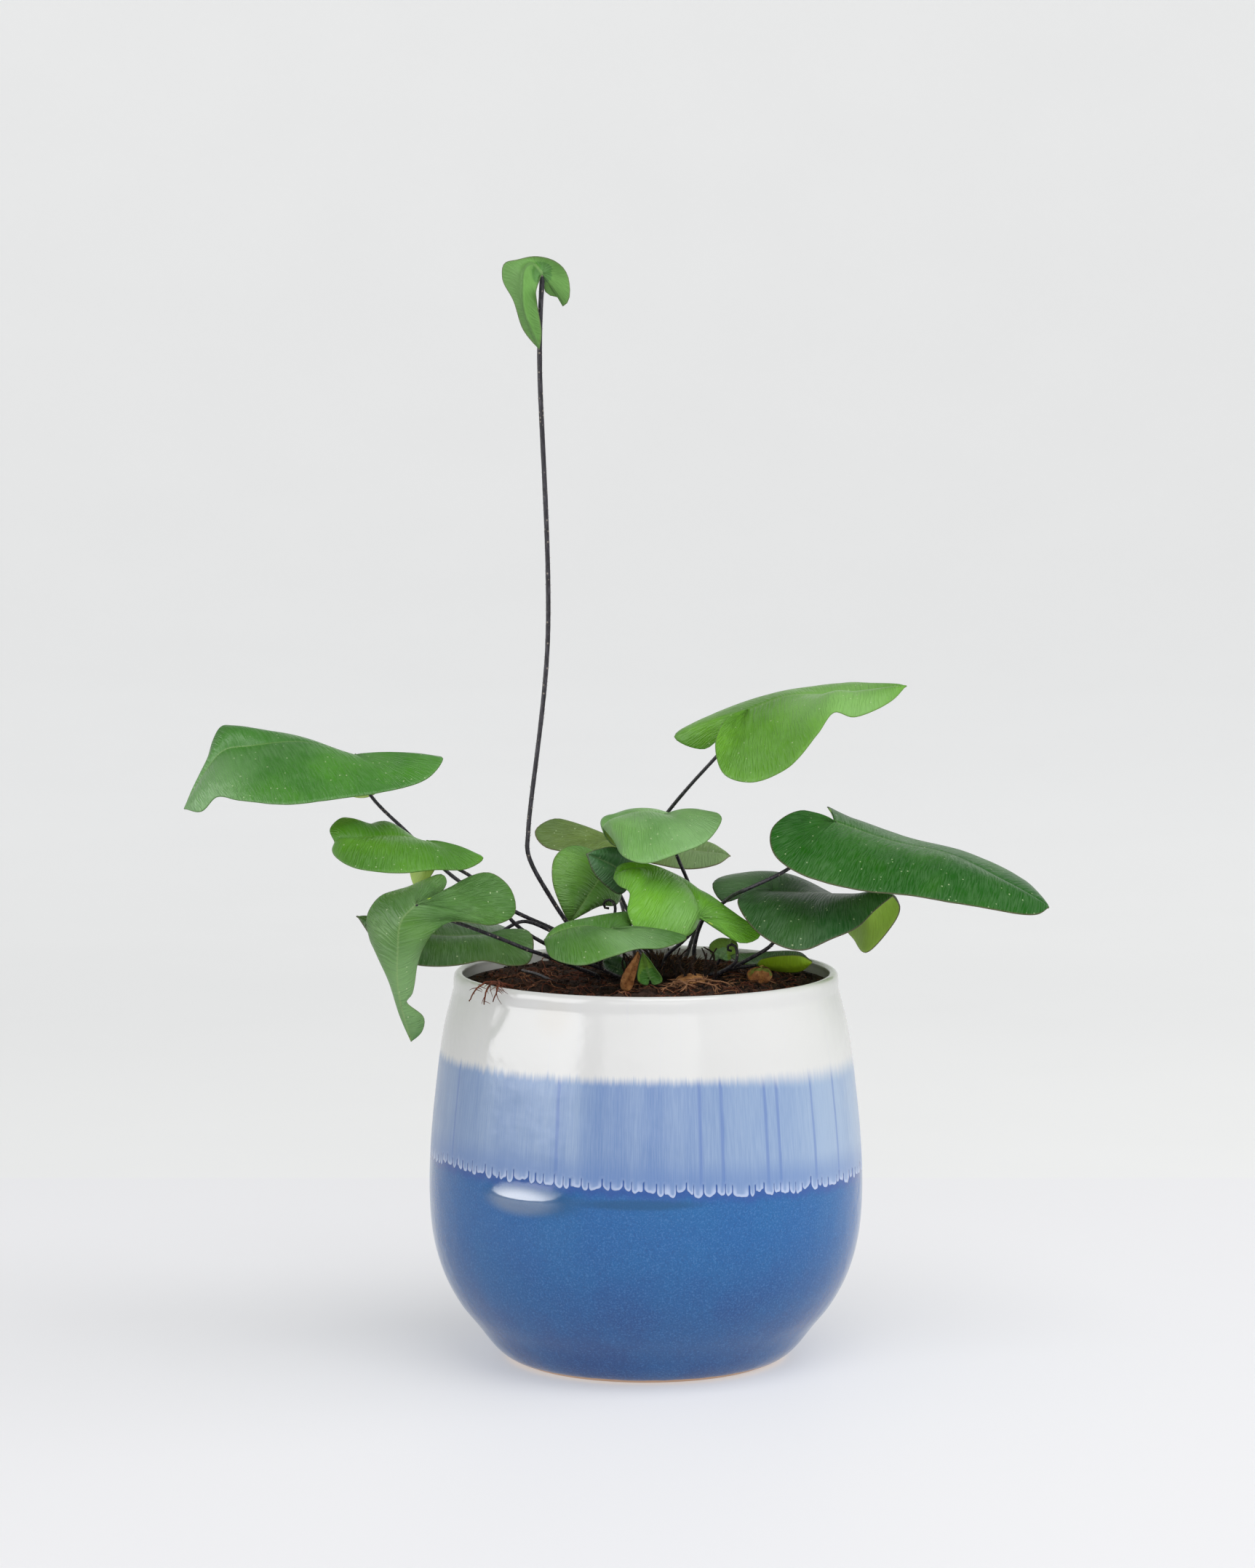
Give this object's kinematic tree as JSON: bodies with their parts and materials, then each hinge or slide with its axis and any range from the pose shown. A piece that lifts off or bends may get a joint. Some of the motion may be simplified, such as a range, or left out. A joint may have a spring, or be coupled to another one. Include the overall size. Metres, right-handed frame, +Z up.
{
  "type": "potted heart fern",
  "caption": "Heart-shaped leathery fern fronds on wiry dark stalks rising from soil in a round glazed pot with a dipped blue and white finish; stands on a flat base.",
  "frame": {"origin": "centre of the pot's flat underside, on the surface that it stands on", "axes": "+Z up, front toward -Y, +X to the right"},
  "size_m": [0.237, 0.1283, 0.3037],
  "materials": {
    "glaze": "glossy glaze",
    "soil": "damp peat",
    "bark": "rough",
    "root": "fibrous",
    "stalk": "wiry, satin",
    "dry_leaf": "papery",
    "leaf_dark": "leathery satin",
    "leaf_mid": "leathery satin",
    "leaf_light": "leathery satin"
  },
  "bodies": {
    "root": {"pot": "glaze", "soil": "soil", "rhizome": "bark", "root_sprig": "root", "root_tuft": "root", "frond_tall_blade": "leaf_mid", "frond_tall_stalk": "stalk", "frond_left_high_blade": "leaf_mid", "frond_left_high_stalk": "stalk", "frond_left_mid_blade": "leaf_light", "frond_left_mid_stalk": "stalk", "frond_front_left_blade": "leaf_mid", "frond_front_left_stalk": "stalk", "frond_left_low_blade": "leaf_dark", "frond_left_low_stalk": "stalk", "frond_back_blade": "leaf_mid", "frond_back_stalk": "stalk", "frond_back_left_blade": "leaf_mid", "frond_back_left_stalk": "stalk", "frond_inner_dark_blade": "leaf_dark", "frond_inner_dark_stalk": "stalk", "frond_top_centre_blade": "leaf_mid", "frond_top_centre_stalk": "stalk", "frond_centre_blade": "leaf_light", "frond_centre_stalk": "stalk", "frond_front_low_blade": "leaf_mid", "frond_front_low_stalk": "stalk", "frond_right_low_blade": "leaf_dark", "frond_right_low_stalk": "stalk", "frond_right_long_blade": "leaf_dark", "frond_right_long_stalk": "stalk", "frond_right_high_blade": "leaf_light", "frond_right_high_stalk": "stalk", "frond_right_small_blade": "leaf_dark", "frond_right_small_stalk": "stalk", "frond_back_small_blade": "leaf_mid", "frond_back_small_stalk": "stalk", "frond_shaded_small_blade": "leaf_dark", "frond_shaded_small_stalk": "stalk", "frond_young_front_blade": "leaf_light", "frond_young_front_stalk": "stalk", "crozier_left": "stalk", "crozier_right": "stalk", "old_stem": "stalk", "dried_leaf_front": "dry_leaf", "dried_leaf_right": "dry_leaf", "dried_leaf_middle": "dry_leaf"}
  },
  "joints": []
}
